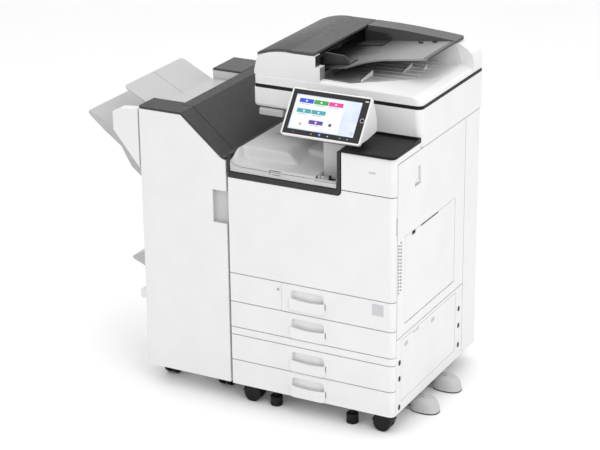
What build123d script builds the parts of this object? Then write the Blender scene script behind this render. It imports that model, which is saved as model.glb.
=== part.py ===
"""Floor-standing colour photocopier with four paper drawers, document feeder and a side finisher.

Everything is drawn in machine coordinates: x = 0 is the left side of the main body, y = 0 its front
face and z = 0 the floor, in millimetres.  write_node() then moves each piece so that the origin is the
centre of the whole outline on the floor.
"""
import os
from math import cos, radians, sin

from build123d import *

# ---------------------------------------------------------------- overall sizes
BODY_WIDTH = 587.0
BODY_DEPTH = 668.0
CABINET_BOTTOM = 67.0
FRONT_THICK = 20.0          # depth of every front cover and drawer front
SKIN = 3.0                  # moulded cover thickness
SHEET = 3.0                 # steel sheet thickness
SPLIT_X = 188.0             # joint line in the top drawer's front
HANDLE_X = (217.0, 345.0)   # drawer grip
SEAM = 3.0                  # visible gap between neighbouring covers
CORNER_R = 18.0             # rounded front-right corner of the cabinet

# heights of the front, from the floor up
DRAWER_LINES = ((67.0, 153.5), (156.5, 244.5), (274.5, 362.5), (365.5, 462.5))   # drawers 4, 3, 2, 1
DIVIDER_Z = (247.5, 271.5)
DOOR_BOTTOM = 465.5
TRIM_BOTTOM = 795.0
DOOR_TOP_LEFT = 792.0
DOOR_TOP_RIGHT = 812.0
COVER_BOTTOM = 815.0
SHELF_TOP = 948.0
SCANNER_BOTTOM = 975.0
SCANNER_TOP = 1041.0
BAND_TOP = 1051.0
LID_BOTTOM = 1053.0
LID_TOP = 1177.0
LID_RIGHT_TOP = 1160.0       # the feeder roof falls to this at the tray's right end
TRAY_RIGHT = 534.0

SCANNER_FRONT = 190.0
CAVITY_RIGHT = 312.0
CAVITY_BACK = 400.0
TRIM_RIGHT = 401.0
COVER_LEFT = 404.0

# right side
SIDE_DOOR_Y = (24.0, 543.0)
SIDE_DOOR_Z = (332.0, 915.0)
SIDE_DOOR_THICK = 21.0
VENT_ROWS = 15
VENT_PITCH = 11.4
VENT_LOW = 486.0
VENT_COLUMNS = ((32.5, 0.0), (49.0, 5.7))   # y, and how much higher the column starts
BYPASS_Y = (82.0, 468.0)
BYPASS_Z = (368.0, 661.0)
LOWER_DOOR_Y = (60.0, 486.0)
LOWER_DOOR_Z = (104.0, 316.0)
REAR_COLUMN_Y = 547.0
BYPASS_PIVOT = (580.0, 375.0)     # x, z

# operation panel
PANEL_X = (190.0, 465.0)
PANEL_HEIGHT = 158.0
PANEL_LEAN = 37.3
PANEL_FOOT = (2.0, 966.5)         # y, z of the lower front edge
PANEL_PIVOT = (112.0, 992.0)      # y, z

HOME_BUTTON = (451.0, 80.0)       # x and height up the panel face
PANEL_THICK = 12.0

# inside the cabinet
TONER_X = (90.0, 190.0, 290.0, 390.0)
TONER_Z = 735.0

# document feeder lid
LID_PIVOT = (658.0, 1063.0)       # y, z
LID_REAR = 668.0
FEED_COVER_PIVOT = (11.0, 1151.0)  # x, z
INPUT_TRAY_PIVOT = (214.0, 1175.0)  # x, z
ROLLER_AXIS = (165.0, 1131.0)     # x, z

# finisher
FIN_LEFT = -329.0
FIN_RIGHT = -8.0
FIN_TOP = 984.0
FIN_KNEE = (-167.0, 984.0)
FIN_TOE = (-20.0, 861.0)
FIN_ROOF = 6.5              # thickness of the roof
FIN_BACK = 627.0
FIN_FRONT_BOX = 98.0
FIN_REAR_BOX = 480.0

# casters and feet
CASTER_TRAIL = 16.0
WHEEL_R = 30.0
WHEEL_HALF = 23.0
AXLE_R = 5.0
STEM_R = 6.0
RUN_FIT = 0.05
COVER_SWING = 4.8                # clearance round the feed cover's hinge edge
BODY_CASTERS = ((42.0, 47.0), (520.0, 42.0))
FIN_CASTERS = ((-294.0, 92.0), (-82.0, 92.0))
BODY_REAR_AXLE_Y = 600.0
BODY_REAR_WHEELS = (58.0, 496.0)
FIN_REAR_AXLE_Y = 560.0
FEET = ((141.0, 43.0), (423.0, 40.0))
STABILISER_Y = (224.0, 405.0)
STABILISER_X = (545.0, 650.0)

# the outline's middle on the floor is the origin of the written parts
OUTLINE_X = (-591.0, 650.0)
OUTLINE_Y = (-7.0, 672.0)
ORIGIN_X = (OUTLINE_X[0] + OUTLINE_X[1]) / 2
ORIGIN_Y = (OUTLINE_Y[0] + OUTLINE_Y[1]) / 2


# ---------------------------------------------------------------- helpers
def block(x0, x1, y0, y1, z0, z1):
    """Box between two corners."""
    return Pos((x0 + x1) / 2, (y0 + y1) / 2, (z0 + z1) / 2) * Box(x1 - x0, y1 - y0, z1 - z0)


def prism_y(points, y0, y1):
    """Outline in x, z swept along y."""
    face = make_face(Polyline(*[(x, y0, z) for x, z in points], close=True))
    return extrude(face, amount=y1 - y0, dir=(0, 1, 0))


def prism_x(points, x0, x1):
    """Outline in y, z swept along x."""
    face = make_face(Polyline(*[(x0, y, z) for y, z in points], close=True))
    return extrude(face, amount=x1 - x0, dir=(1, 0, 0))


def prism_z(points, z0, z1):
    """Outline in x, y swept along z."""
    face = make_face(Polyline(*[(x, y, z0) for x, y in points], close=True))
    return extrude(face, amount=z1 - z0, dir=(0, 0, 1))


def rod_x(x0, x1, y, z, r):
    return Pos((x0 + x1) / 2, y, z) * Rot(0, 90, 0) * Cylinder(r, x1 - x0)


def rod_y(x, y0, y1, z, r):
    return Pos(x, (y0 + y1) / 2, z) * Rot(90, 0, 0) * Cylinder(r, y1 - y0)


def rod_z(x, y, z0, z1, r):
    return Pos(x, y, (z0 + z1) / 2) * Cylinder(r, z1 - z0)


def edges_at(part, axis, x=None, y=None, z=None, tol=0.6):
    """Straight edges along an axis that pass near the given place."""
    found = []
    for edge in part.edges().filter_by(axis):
        mid = edge.center()
        near = [a is None or abs(m - a) < tol for m, a in ((mid.X, x), (mid.Y, y), (mid.Z, z))]
        if all(near):
            found.append(edge)
    return found


def merged(*shapes):
    """Union of touching shapes as one solid."""
    result = shapes[0]
    for shape in shapes[1:]:
        result = result + shape
    return result


def write_node(name, *solids):
    """Write one named piece, or a group of separate alike solids, in the part's own frame."""
    parts = []
    for shape in solids:
        parts.extend(shape.solids())
    moved = [Pos(-ORIGIN_X, -ORIGIN_Y, 0) * solid for solid in parts]
    shape = moved[0] if len(moved) == 1 else Compound(children=moved)
    export_step(shape, os.path.join("parts", name + ".step"))


# ---------------------------------------------------------------- cabinet structure
def axle_cheek(x, y):
    """Bracket plate that carries a rear axle."""
    cheek = block(x - 6, x + 6, y - 16, y + 16, 14, CABINET_BOTTOM)
    return cheek - rod_x(x - 20, x + 20, y, WHEEL_R, AXLE_R + RUN_FIT)


def caster_socket(plate, x, y):
    """Boss and bore for a caster stem in a bottom plate."""
    plate = plate + rod_z(x, y, 64.5, 68, 20)
    return plate - rod_z(x, y, 50, 80, STEM_R + RUN_FIT)


def base_frame():
    """Bottom pan with caster sockets, and beside it the rear axle brackets and the stabiliser arms."""
    pan = block(5, 572, 24, 650, CABINET_BOTTOM, 71)
    for x, y in BODY_CASTERS:
        pan = caster_socket(pan, x, y)
    cheeks = [axle_cheek(x, BODY_REAR_AXLE_Y) for x in BODY_REAR_WHEELS]
    arm = [(470, 67), (470, 60), (515, 6), (560, 6), (560, 11), (519, 11), (480, 60), (480, 67)]
    arms = [prism_y(arm, y - 20, y + 20) for y in STABILISER_Y]
    return [pan, *cheeks, *arms]


def main_frame():
    """Steel plates of the cabinet and the drawer runners, as separate plates."""
    left = block(6, 9, 25, 637, 72, 810)
    right = block(540, 543, 25, 637, 72, 810)
    rear = block(9, 572, 637, 640, 72, 914)
    middle = block(9, 540, 60, 637, 466, 469)
    top = block(9, 540, 64, 637, 800, 803)
    post_front = block(9, 400, 410, 413, 804, 970)
    post_top = block(9, 400, 410, 637, 970.5, 973.5)
    post_sides = [block(x, x + SHEET, 414, 636, 804, 970) for x in (9, 397)]
    plates = [left, right, rear, middle, top, post_front, post_top, *post_sides]
    for z0, z1 in DRAWER_LINES:
        for x0, x1 in ((9, 20), (524, 540)):
            plates.append(block(x0, x1, 40, 600, z0 + 30, z0 + 36))
    return plates


def levelling_foot(x, y):
    """Screw foot: a stout knob on the floor with a coin slot, and a threaded stem up into the pan."""
    knob = chamfer(rod_z(x, y, 0, 34, 20.5).edges(), 2)
    knob = knob - block(x - 2.5, x + 2.5, y - 25, y + 25, -1, 4)
    grip = rod_z(x, y, 12, 15, 30) - rod_z(x, y, 12, 15, 19)
    return merged(knob - grip, rod_z(x, y, 33, 66.9, 6))


def stabiliser_cover(y):
    """Rounded hood over the end of one anti-tip arm, open underneath for the arm."""
    x0, x1 = STABILISER_X
    foot = Plane.XY * Pos((x0 + x1) / 2, y, 0) * RectangleRounded(x1 - x0, 68, 30)
    crown = Plane.XY.offset(52) * Pos((x0 + x1) / 2 - 3, y, 0) * RectangleRounded(62, 46, 20)
    hood = loft([foot.faces()[0], crown.faces()[0]])
    hood = fillet(hood.faces().sort_by(Axis.Z)[-1].edges(), 10)
    hood = hood - block(x0 - 5, x0 + 18, y - 20.6, y + 20.6, -1, 11.6)
    return hood - rod_z((x0 + x1) / 2 - 3, y, 49, 60, 5)


# ---------------------------------------------------------------- casters
def caster_fork():
    """Swivel body of a twin-wheel caster at the origin, trailing along y: stem, web and hood."""
    y = CASTER_TRAIL
    web = prism_x([(-12, 62), (-12, 52), (y - 9, 26), (y - 6, 19), (y + 6, 19), (y + 9, 26), (y + 14, 56),
                   (14, 62)], -6, 6)
    ring = rod_x(-WHEEL_HALF, WHEEL_HALF, y, WHEEL_R, 33.5) - rod_x(-WHEEL_HALF, WHEEL_HALF, y, WHEEL_R, 31)
    ring = ring - block(-40, 40, y - 40, y + 40, -10, WHEEL_R + 4)
    fork = merged(web, ring, rod_z(0, 0, 60.8, 63.5, 15), rod_z(0, 0, 63, 71, STEM_R))
    return fork - rod_x(-10, 10, y, WHEEL_R, AXLE_R + RUN_FIT)


def twin_wheel(x, y, z=WHEEL_R):
    """Two treads on one axle, at rest turning about x."""
    treads = rod_x(x - WHEEL_HALF, x - 7, y, z, WHEEL_R) + rod_x(x + 7, x + WHEEL_HALF, y, z, WHEEL_R)
    treads = fillet(treads.edges().filter_by(GeomType.CIRCLE), 3)
    return merged(treads, rod_x(x - 8, x + 8, y, z, AXLE_R))


def caster_place(x, y, turn):
    """Where a caster stands and which way it trails, in degrees from +y."""
    return Pos(x, y, 0) * Rot(0, 0, turn)


def rear_wheels(xs, y):
    """Rear pair of wheels on one through axle."""
    pair = twin_wheel(xs[0], y) + twin_wheel(xs[1], y)
    return pair + rod_x(xs[0], xs[1], y, WHEEL_R, AXLE_R)


# ---------------------------------------------------------------- covers of the cabinet
def rear_cover():
    """Back panel with a rim, cooling slots and a hole for the power inlet."""
    panel = block(3, 571, 652, BODY_DEPTH, CABINET_BOTTOM, 972)
    panel = panel - block(3 + SKIN, 571 - SKIN, 640, BODY_DEPTH - SKIN, CABINET_BOTTOM + SKIN, 972 - SKIN)
    for row in range(12):
        z = 690 + row * 14
        panel = panel - block(90, 250, 660, 680, z, z + 6)
    panel = panel - block(TRIM_RIGHT, 580, 640, 680, SIDE_DOOR_Z[1] + 1, 980)
    return panel - block(440, 470, 660, 680, 120, 145)


def power_inlet():
    """Three-pin mains socket body set in the back panel."""
    shell = block(440.5, 469.5, 645, 670, 120.5, 144.5) - block(443, 467, 650, 671, 123, 142)
    for x in (448.0, 455.0, 462.0):
        shell = shell + block(x - 1, x + 1, 648, 664, 129, 136)
    return shell


def right_rear_cover():
    """Column at the rear of the right side."""
    column = block(572.5, BODY_WIDTH, REAR_COLUMN_Y, BODY_DEPTH, CABINET_BOTTOM, SIDE_DOOR_Z[1])
    column = fillet(edges_at(column, Axis.Z, x=BODY_WIDTH, y=BODY_DEPTH), 10)
    return column - block(570, BODY_WIDTH - SKIN, 550, BODY_DEPTH - SKIN, 70, SIDE_DOOR_Z[1] - SKIN)


def drawer_divider():
    """Fixed strip between the cabinet drawers and the lower paper unit."""
    z0, z1 = DIVIDER_Z
    strip = block(0, BODY_WIDTH, 0, FRONT_THICK, z0, z1)
    strip = fillet(edges_at(strip, Axis.Z, x=BODY_WIDTH, y=0), CORNER_R)
    hollow = block(SKIN, BODY_WIDTH - SKIN, SKIN + 1, FRONT_THICK + 1, z0 + SKIN, z1 - SKIN)
    hollow = fillet(edges_at(hollow, Axis.Z, x=BODY_WIDTH - SKIN, y=SKIN + 1), CORNER_R - SKIN)
    return strip - hollow


def lower_side_cover():
    """Lower right side round its own door: front post, sill, rear post and header."""
    x0, x1 = 574.0, BODY_WIDTH
    y0, y1 = LOWER_DOOR_Y[0] - 1.5, LOWER_DOOR_Y[1] + 2.5
    z0, z1 = LOWER_DOOR_Z[0] - 2.0, LOWER_DOOR_Z[1] + 2.0
    post = block(x0, x1, 22.0, y0, z0, 328)
    header = block(x0, x1, y0, y1, z1, 328)
    sill = block(x0, x1, 22.0, 544, CABINET_BOTTOM, z0)
    rear = block(x0, x1, y1, 544, z0, 328)
    return merged(post, header, sill, rear)


def upper_front_cover():
    """Cover beside the output cavity, under the work shelf, turning the corner to the right side."""
    outer = block(COVER_LEFT, BODY_WIDTH, 0, 186, COVER_BOTTOM, 938)
    outer = fillet(edges_at(outer, Axis.Z, x=BODY_WIDTH, y=0), CORNER_R)
    inner = block(COVER_LEFT + SKIN, BODY_WIDTH - SKIN, SKIN, 190, COVER_BOTTOM - 1, 940)
    inner = fillet(edges_at(inner, Axis.Z, x=BODY_WIDTH - SKIN, y=SKIN), CORNER_R - SKIN)
    return outer - inner - block(570, 600, FRONT_THICK + 1, 200, 800, SIDE_DOOR_Z[1] + SEAM)


def exit_trim():
    """Dark frame round the output cavity: sill, right upright and short left upright."""
    sill = block(0, TRIM_RIGHT, -2, 14, TRIM_BOTTOM, 812)
    upright = block(TRIM_RIGHT - 11, TRIM_RIGHT, -2, 14, TRIM_BOTTOM, 938)
    left = block(0, 6, -2, 14, TRIM_BOTTOM, 872)
    trim = merged(sill, upright, left)
    trim = fillet(edges_at(trim, Axis.Y, x=TRIM_RIGHT, z=TRIM_BOTTOM), 14)
    return fillet(edges_at(trim, Axis.Y, x=TRIM_RIGHT - 11, z=812), 6)


def work_shelf():
    """Dark flat shelf to the right of the operation panel, with a lip along the side and the back."""
    y0 = OUTLINE_Y[0]
    shelf = block(TRIM_RIGHT, BODY_WIDTH + 1, y0, 186, 939, SHELF_TOP)
    shelf = shelf + block(570, BODY_WIDTH + 1, y0, 188, 939, SHELF_TOP)
    shelf = fillet(edges_at(shelf, Axis.Z, x=BODY_WIDTH + 1, y=y0), 20)
    shelf = fillet(edges_at(shelf, Axis.Z, x=TRIM_RIGHT, y=y0), 8)
    shelf = fillet(shelf.faces().sort_by(Axis.Z)[-1].edges(), 2.5)
    lip = prism_x([(120, SHELF_TOP - 3), (188, SHELF_TOP - 3), (188, 955)], 583, BODY_WIDTH + 1)
    return shelf + lip + block(TRIM_RIGHT, 584, 183, 188, SHELF_TOP - 4, 954)


def output_tray():
    """Moulded paper tray in the cavity: high at the left, a ramp and a low floor at the right."""
    high = [(7, 814), (310, 814), (310, 841), (222, 845), (163, 873), (7, 873)]
    low = [(7, 814), (310, 814), (310, 841), (46, 845), (20, 853), (7, 873)]
    under = [(10, 813), (307, 813), (307, 837), (222, 841), (162, 868), (10, 868)]
    under_low = [(10, 813), (307, 813), (307, 837), (46, 840), (20, 848), (10, 862)]
    tray = prism_y(high, 90, 396) + prism_y(low, 3, 90)
    return tray - prism_y(under, 93, 393) - prism_y(under_low, 7, 93)


def cavity_wall():
    """Inner walls of the output cavity, with the paper exit slot in the right one."""
    front = block(CAVITY_RIGHT, TRIM_RIGHT, 60, 63, 814, 938)
    step = block(CAVITY_RIGHT, TRIM_RIGHT - 12, 15, 60, 814, 824)
    lower = block(CAVITY_RIGHT, CAVITY_RIGHT + SKIN, 63, CAVITY_BACK, 814, 880)
    upper = block(CAVITY_RIGHT, CAVITY_RIGHT + SKIN, 63, CAVITY_BACK, 905, 972)
    back = block(4, CAVITY_RIGHT - 1, CAVITY_BACK, CAVITY_BACK + SKIN, 814, 972)
    return [front, step, lower, upper, back]


# ---------------------------------------------------------------- scanner
def scanner_housing():
    """Scanner tub with the white pillar that carries it at the right."""
    tub = block(-6, BODY_WIDTH, SCANNER_FRONT, 672, SCANNER_BOTTOM, SCANNER_TOP)
    pillar = block(COVER_LEFT, BODY_WIDTH, SCANNER_FRONT, 672, SIDE_DOOR_Z[1] + SEAM, SCANNER_BOTTOM + 1)
    body = tub + pillar
    body = fillet(edges_at(body, Axis.Z, x=BODY_WIDTH, y=SCANNER_FRONT), 22)
    body = fillet(edges_at(body, Axis.Z, x=-6, y=SCANNER_FRONT), 10)
    body = fillet(edges_at(body, Axis.X, y=SCANNER_FRONT, z=SCANNER_BOTTOM), 14)
    body = body - block(2, 579, 198, 664, SCANNER_BOTTOM + 6, SCANNER_TOP + 5)
    return body - block(COVER_LEFT + 5, 579, 198, 636, 900, SCANNER_BOTTOM + 2)


def scanner_top_frame():
    """Dark top frame of the scanner with the glass window and the two lid hinge lugs."""
    frame = block(-4, BODY_WIDTH - 1, SCANNER_FRONT + 1, 671, SCANNER_TOP, BAND_TOP)
    frame = fillet(edges_at(frame, Axis.Z, x=BODY_WIDTH - 1, y=SCANNER_FRONT + 1), 21)
    frame = fillet(edges_at(frame, Axis.Z, x=-4, y=SCANNER_FRONT + 1), 9)
    frame = frame - block(30, 490, 215, 530, SCANNER_TOP - 1, BAND_TOP + 1)
    frame = frame + block(26, 494, 211, 534, SCANNER_TOP, SCANNER_TOP + 3) \
        - block(34, 486, 219, 526, SCANNER_TOP - 1, BAND_TOP + 1)
    y, z = LID_PIVOT
    for x in (105.0, 487.0):
        lug = block(x - 10, x + 10, y - 8, y + 8, BAND_TOP - 1, z) + rod_x(x - 10, x + 10, y, z, 8)
        frame = frame + lug + rod_x(x - 20, x + 20, y, z, 4)
    return frame


def scanner_carriage():
    """Lamp carriage that runs under the glass."""
    bar = block(40, 96, 215, 560, 996, 1026)
    trough = prism_y([(60, 1027), (76, 1027), (71, 1010), (65, 1010)], 222, 553)
    return bar - trough


# ---------------------------------------------------------------- document feeder
def roof_arc(y, drop):
    """Arched part of the feeder roof's side view, a given distance down."""
    points = ((8, LID_TOP - 21), (50, LID_TOP - 6.5), (130, LID_TOP))
    return ThreePointArc(*[(x, y, z - drop) for x, z in points])


def feeder_roof(y0, y1, top, bottom, right):
    """Arched slab between two depths under the feeder roof."""
    upper, lower = roof_arc(y0, top), roof_arc(y0, bottom)
    ends = Polyline((130, y0, LID_TOP - top), (right, y0, LID_TOP - top), (right, y0, LID_TOP - bottom),
                    (130, y0, LID_TOP - bottom))
    close = Line((8, y0, LID_TOP - 21 - top), (8, y0, LID_TOP - 21 - bottom))
    return extrude(make_face([upper, ends, lower, close]), amount=y1 - y0, dir=(0, 1, 0))


def adf_slab():
    """Low white slab of the lid, with rounded front corners and a softened front edge."""
    y0 = SCANNER_FRONT + 1
    plan = block(-4, 586, y0, LID_REAR, LID_BOTTOM, 1091)
    plan = fillet(edges_at(plan, Axis.Z, x=586, y=y0), 20)
    plan = fillet(edges_at(plan, Axis.Z, x=-4, y=y0), 9)
    deck = prism_y([(-5, LID_BOTTOM), (587, LID_BOTTOM), (587, 1062), (578, 1071), (555, 1078), (355, 1088),
                    (232, 1090), (-5, 1090)], y0, LID_REAR)
    front = prism_x([(y0, LID_BOTTOM), (y0, 1080), (y0 + 3, 1085), (y0 + 9, 1091), (LID_REAR, 1091),
                     (LID_REAR, LID_BOTTOM)], -5, 587)
    slab = plan & deck & front
    slab = fillet(edges_at(slab, Axis.X, y=LID_REAR, z=LID_BOTTOM), 10)
    return slab - block(188, 368, y0 - 1, y0 + 5, LID_BOTTOM + 2.5, LID_BOTTOM + 7)


def adf_body():
    """White lid body: exit tray, feed block at the left and hinge ridge at the back."""
    y0 = SCANNER_FRONT + 1
    side = prism_y([(-4, 1084), (-4, 1098), (8, 1146), (12, 1148), (206, 1148), (206, 1084)], y0 + 1, 655)
    feed = side + feeder_roof(y0 + 1, 655, 10, 40, 206)
    step = prism_y([(205, LID_TOP - 10), (216, LID_TOP - 10), (216, 1131), (232, 1131), (232, 1084),
                    (205, 1084)], y0 + 1, 228)
    ridge = prism_y([(205, 1080), (588, 1060), (588, 1093), (581, 1117), (562, 1132), (531, 1148),
                     (459, 1156), (366, 1162), (214, 1166), (205, 1166)], 596, LID_REAR)
    body = adf_slab() + feed + step + ridge
    plan = [(205, 216), (330, 216), (392, 270), (436, 317), (476, 362), (522, 400), (536, 440), (536, 597),
            (205, 597)]
    floor_cut = prism_y([(200, 1112), (200, 1066), (540, 1076), (540, 1112)], 210, 598)
    pocket = prism_z(plan, 1060, 1115) & floor_cut
    body = body - pocket + block(205, 232, y0 + 1, 228, 1084, 1131)
    body = body - block(175, 206, 232, 590, 1067, 1092)
    body = body - block(120, 207, 232, 598, 1112, LID_TOP)
    x, z = FEED_COVER_PIVOT
    body = body - rod_y(x, SCANNER_FRONT, 647, z, COVER_SWING)
    x, z = ROLLER_AXIS
    body = body - rod_y(x, 221, 609, z, 4 + RUN_FIT)
    y, z = LID_PIVOT
    for x in (105.0, 487.0):
        body = body - block(x - 11.5, x + 11.5, y - 18, y + 20, LID_BOTTOM - 1, 1090)
        body = body - rod_x(x - 22, x + 22, y, z, 4 + RUN_FIT)
    return body


def adf_feed_cover():
    """Dark arched cover over the feed rollers, hinged at its left edge."""
    cover = feeder_roof(SCANNER_FRONT + 3, 646, 0, 8, 212)
    return fillet(edges_at(cover, Axis.Y, x=212, z=LID_TOP), 2)


def tray_top(x):
    """Height of the input tray's floor."""
    return 1124 + (x - 209) * 0.104


def roof_line(drop):
    """Falling roof line of the input tray's rear ledge, a given distance down."""
    return [(216, LID_TOP - drop), (296, LID_TOP - 1 - drop), (366, LID_TOP - 4 - drop),
            (459, LID_TOP - 10.5 - drop), (TRAY_RIGHT, LID_RIGHT_TOP - drop)]


def adf_input_tray():
    """Dark input tray: sloping floor, waved front edge, rear wall and a ledge over the hinge ridge."""
    top = [(209, tray_top(209)), (420, tray_top(420)), (TRAY_RIGHT, LID_RIGHT_TOP)]
    floor = prism_y(top + [(x, z - 6) for x, z in reversed(top)], 232, 576)
    wave = Spline((300, 226), (318, 265), (345, 310), (382, 334), (430, 342), (TRAY_RIGHT + 4, 352))
    front = make_face([wave, Polyline((TRAY_RIGHT + 4, 352), (TRAY_RIGHT + 4, 200), (300, 200), (300, 226))])
    floor = floor - extrude(Pos(0, 0, 1100) * front, amount=90, dir=(0, 0, 1))
    ledge = prism_y(roof_line(0) + list(reversed(roof_line(8))), 572, 646)
    wall = prism_y([(216, tray_top(216) - 4), (420, tray_top(420) - 4), (TRAY_RIGHT, LID_RIGHT_TOP - 5)]
                   + list(reversed(roof_line(4))), 572, 576)
    plan = block(209, TRAY_RIGHT, 200, 646, 1100, LID_TOP + 1)
    plan = fillet(edges_at(plan, Axis.Z, x=TRAY_RIGHT, y=646), 12)
    return merged(floor, wall, ledge) & plan


def adf_guide(y0, y1, fence_y):
    """Side guide for originals: a low plate on the tray floor with an upright fence."""
    foot = [(214, tray_top(214) + 0.6), (304, tray_top(304) + 0.6)]
    plate = prism_y(foot + [(304, tray_top(304) + 3.6), (214, tray_top(214) + 3.6)], y0, y1)
    fence = prism_y(foot + [(304, 1148), (288, 1162), (216, 1166), (214, 1164)], fence_y, fence_y + 6)
    return plate + fence


def adf_roller():
    """Feed roller with its shaft."""
    x, z = ROLLER_AXIS
    return rod_y(x, 222, 608, z, 4) + rod_y(x, 300, 340, z, 10) + rod_y(x, 430, 470, z, 10)


# ---------------------------------------------------------------- operation panel
def panel_point(up, out):
    """Point of the panel's side view: distance up its face and out from it, as y, z."""
    lean = radians(PANEL_LEAN)
    y = PANEL_FOOT[0] + up * sin(lean) - out * cos(lean)
    z = PANEL_FOOT[1] + up * cos(lean) + out * sin(lean)
    return y, z


def panel_housing():
    """White tilting case: a slim slab with a deep wedge at the right and the tilt bearings."""
    x0, x1 = PANEL_X
    slab = prism_x([panel_point(0, 0), panel_point(PANEL_HEIGHT, 0), panel_point(PANEL_HEIGHT, -PANEL_THICK),
                    panel_point(0, -PANEL_THICK)], x0, x1)
    corner_edges = [e for e in slab.edges() if abs(e.length - PANEL_THICK) < 0.01]
    slab = fillet(corner_edges, 9)
    wedge = prism_x([panel_point(8, -8), (60, 968), (128, 976), (127, 1022), panel_point(PANEL_HEIGHT - 6, -10)],
                    330, x1 - 1)
    case = slab + wedge
    screen_cut = prism_x([panel_point(5, 1), panel_point(PANEL_HEIGHT - 5, 1),
                          panel_point(PANEL_HEIGHT - 5, -3), panel_point(5, -3)], x0 + 5, x1 - 5)
    case = case - screen_cut
    button_x, button_up = HOME_BUTTON
    axis_y, axis_z = panel_point(button_up, 0)
    bore = Pos(button_x, axis_y, axis_z) * Rot(90 - PANEL_LEAN, 0, 0) * Cylinder(5.4, 20)
    case = case - bore
    y, z = PANEL_PIVOT
    case = case - block(374, 446, y - 22, 140, 940, z + 22)
    return case - rod_x(360, 460, y, z, 5 + RUN_FIT)


def panel_screen():
    """Touch screen glass set in the case, pierced for the round key."""
    x0, x1 = PANEL_X
    glass = prism_x([panel_point(5.4, -0.4), panel_point(PANEL_HEIGHT - 5.4, -0.4),
                     panel_point(PANEL_HEIGHT - 5.4, -2.9), panel_point(5.4, -2.9)], x0 + 5.4, x1 - 5.4)
    button_x, button_up = HOME_BUTTON
    axis_y, axis_z = panel_point(button_up, 0)
    return glass - Pos(button_x, axis_y, axis_z) * Rot(90 - PANEL_LEAN, 0, 0) * Cylinder(5.4, 20)


def home_button():
    """Round key in the right bezel, travelling along the panel's normal."""
    button_x, button_up = HOME_BUTTON
    axis_y, axis_z = panel_point(button_up, -2.6)
    return Pos(button_x, axis_y, axis_z) * Rot(90 - PANEL_LEAN, 0, 0) * Cylinder(5.0, 6.0)


def panel_bracket():
    """Fixed foot and tilt pin that carry the panel on the shelf."""
    y, z = PANEL_PIVOT
    foot = block(384, 436, y - 20, y + 22, SHELF_TOP, 954)
    stem = block(384, 436, y - 9, y + 9, 953, z)
    pin = rod_x(362, 458, y, z, 5)
    return merged(foot, stem, rod_x(384, 436, y, z, 9), pin)


# ---------------------------------------------------------------- front door and drawers
def front_door():
    """Large front door, stepped at the top round the cavity trim; hollow at the back."""
    z0 = DOOR_BOTTOM
    door = block(0, BODY_WIDTH, 0, FRONT_THICK, z0, DOOR_TOP_RIGHT)
    step = block(-1, TRIM_RIGHT + SEAM, -1, FRONT_THICK + 1, DOOR_TOP_LEFT, DOOR_TOP_RIGHT + 1)
    step = fillet(edges_at(step, Axis.Y, x=TRIM_RIGHT + SEAM, z=DOOR_TOP_LEFT), 16)
    door = door - step
    door = fillet(edges_at(door, Axis.Z, x=BODY_WIDTH, y=0), CORNER_R)
    hollow = block(5, BODY_WIDTH - 5, 4, FRONT_THICK + 1, z0 + 5, DOOR_TOP_LEFT - 5)
    hollow = fillet(edges_at(hollow, Axis.Z, x=BODY_WIDTH - 5, y=4), CORNER_R - 5)
    grip = block(BODY_WIDTH - 4, BODY_WIDTH + 1, 14, FRONT_THICK + 1, 685, 745)
    return door - hollow - grip


def drawer_handle(z1):
    """Grip plate standing off the drawer front, with a hollowed top edge."""
    x0, x1 = HANDLE_X
    top, bottom = z1 - 46, z1 - 87
    rim = ThreePointArc((x0, -6, top), ((x0 + x1) / 2, -6, top - 6), (x1, -6, top))
    sides = Polyline((x1, -6, top), (x1, -6, bottom), (x0, -6, bottom), (x0, -6, top))
    plate = extrude(make_face([rim, sides]), amount=8, dir=(0, 1, 0))
    plate = fillet(edges_at(plate, Axis.Y, z=bottom), 14)
    return fillet(plate.faces().sort_by(Axis.Y)[0].edges(), 3)


def paper_tray(z0, z1):
    """Drawer: white front with a grip pocket, and the open paper basket behind it."""
    front = block(0, BODY_WIDTH, 0, FRONT_THICK, z0, z1)
    front = fillet(edges_at(front, Axis.Z, x=BODY_WIDTH, y=0), CORNER_R)
    pocket = block(HANDLE_X[0] + 5, HANDLE_X[1] - 5, -1, 15, z1 - 73, z1 - 18)
    pocket = fillet(pocket.edges().filter_by(Axis.Y), 12)
    front = front - pocket + drawer_handle(z1)
    basket = block(24, 520, FRONT_THICK - 1, 610, z0 + 7, z1 - 16)
    basket = basket - block(28, 516, FRONT_THICK + 3, 606, z0 + 11, z1)
    rails = block(21, 25, 40, 600, z0 + 37, z0 + 44) + block(519, 523, 40, 600, z0 + 37, z0 + 44)
    tray = merged(front, basket, rails)
    if z1 == DRAWER_LINES[-1][1]:
        tray = tray - block(SPLIT_X - 0.8, SPLIT_X + 0.8, -1, 1.5, z0 - 1, z1 + 1)
    return tray


def inner_cover():
    """Inner cover behind the front door, with round openings for the toner bottles."""
    plate = block(10, 539, 34, 37, 472, 796)
    for x in TONER_X:
        plate = plate - rod_y(x, 30, 40, TONER_Z, 38)
    return plate


def toner_bottle(x):
    """Toner bottle lying front to back, with a ribbed cap."""
    bottle = rod_y(x, 60, 590, TONER_Z, 33)
    cap = rod_y(x, 32, 60, TONER_Z, 28)
    return bottle + cap + block(x - 20, x + 20, 26, 34, TONER_Z - 4, TONER_Z + 4)


def fuser_unit():
    """Fuser block near the right side, with its two rollers."""
    case = block(470, 535, 70, 600, 640, 790) - block(480, 536, 80, 590, 660, 770)
    rollers = rod_y(492, 70, 600, 690, 10) + rod_y(514, 70, 600, 690, 10)
    return case + rollers


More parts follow.
